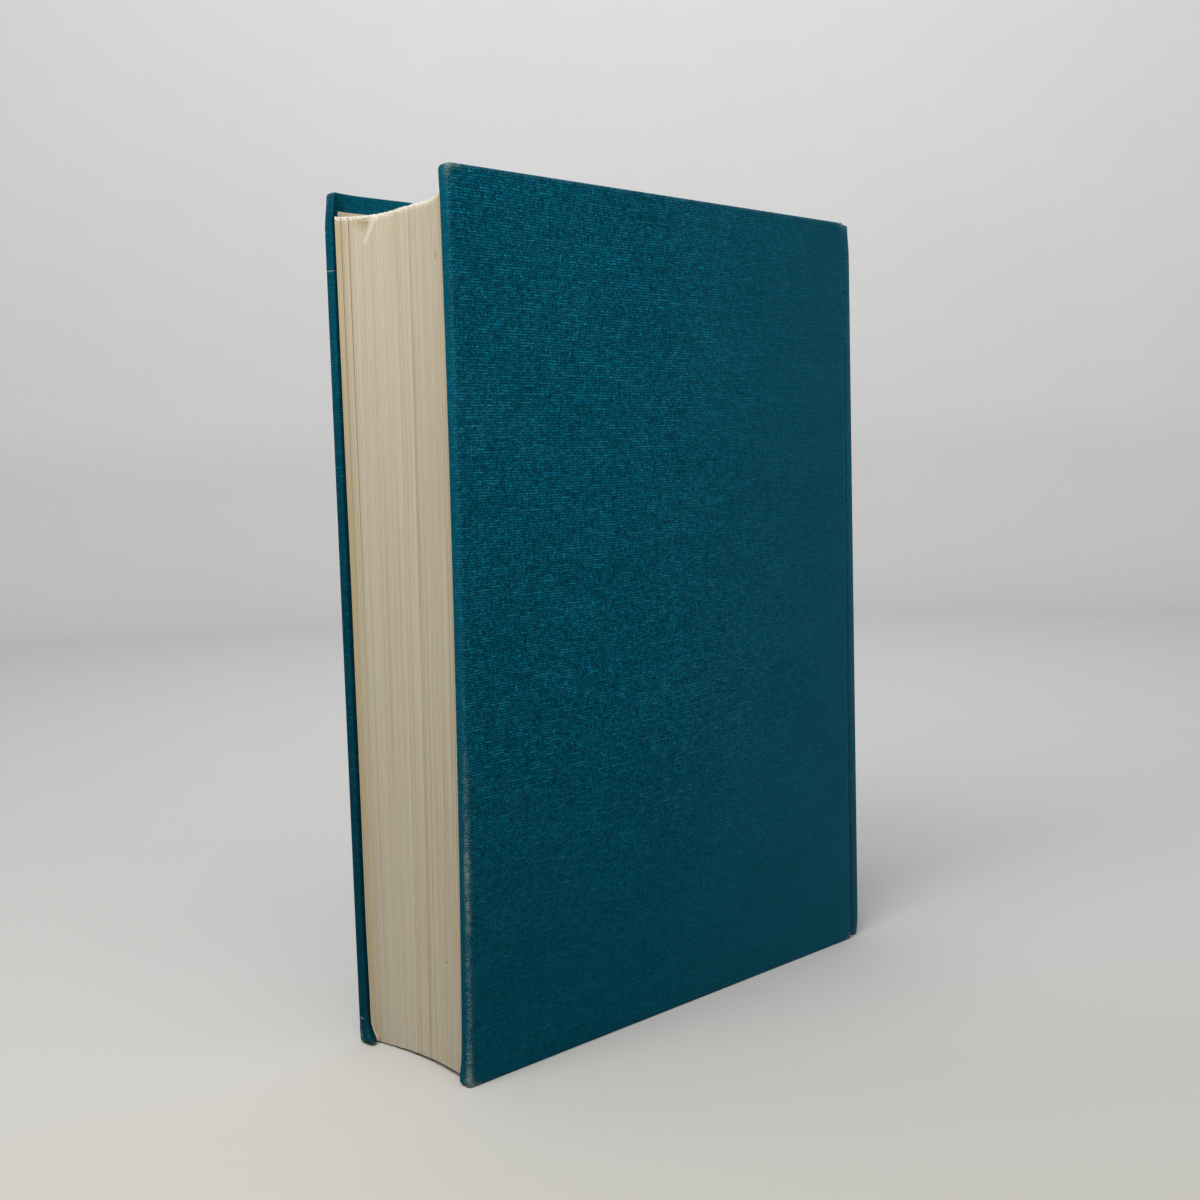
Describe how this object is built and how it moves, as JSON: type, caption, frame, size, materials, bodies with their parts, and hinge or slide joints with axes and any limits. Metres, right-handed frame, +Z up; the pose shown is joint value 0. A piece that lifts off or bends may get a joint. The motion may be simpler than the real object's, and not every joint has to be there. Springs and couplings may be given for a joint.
{
  "type": "hardcover book",
  "caption": "Thick cloth-bound hardcover book with a rounded spine, hollow fore edge and two hinged covers, standing on its tail.",
  "frame": {"origin": "on the standing surface, under the middle of the closed book's box", "axes": "+Z up along the spine from tail to head, +X from the spine to the fore edge, +Y from the front cover to the back cover"},
  "size_m": [0.1796, 0.056, 0.24],
  "materials": {
    "cover_cloth": "matte",
    "board": "matte",
    "endpaper": "matte",
    "page_edges": "matte",
    "lining_paper": "matte",
    "mull": "matte",
    "headband": "matte"
  },
  "bodies": {
    "book_block": {"text_block": "page_edges", "front_free_endpaper": "endpaper", "back_free_endpaper": "endpaper", "headband": "headband", "tailband": "headband", "mull": "mull", "spine_lining": "lining_paper", "spine_inlay": "board", "spine_cloth": "cover_cloth"},
    "front_cover": {"front_board": "board", "front_cover_cloth": "cover_cloth", "front_pastedown": "endpaper"},
    "back_cover": {"back_board": "board", "back_cover_cloth": "cover_cloth", "back_pastedown": "endpaper"}
  },
  "joints": [
    {"name": "front_cover_hinge", "type": "hinge", "parent": "book_block", "child": "front_cover", "pos_m": [-0.07712, -0.028, 0.12], "axis": [0, 0, -1], "range_deg": [0, 180]},
    {"name": "back_cover_hinge", "type": "hinge", "parent": "book_block", "child": "back_cover", "pos_m": [-0.07712, 0.023, 0.12], "axis": [0, 0, 1], "range_deg": [0, 180]}
  ]
}
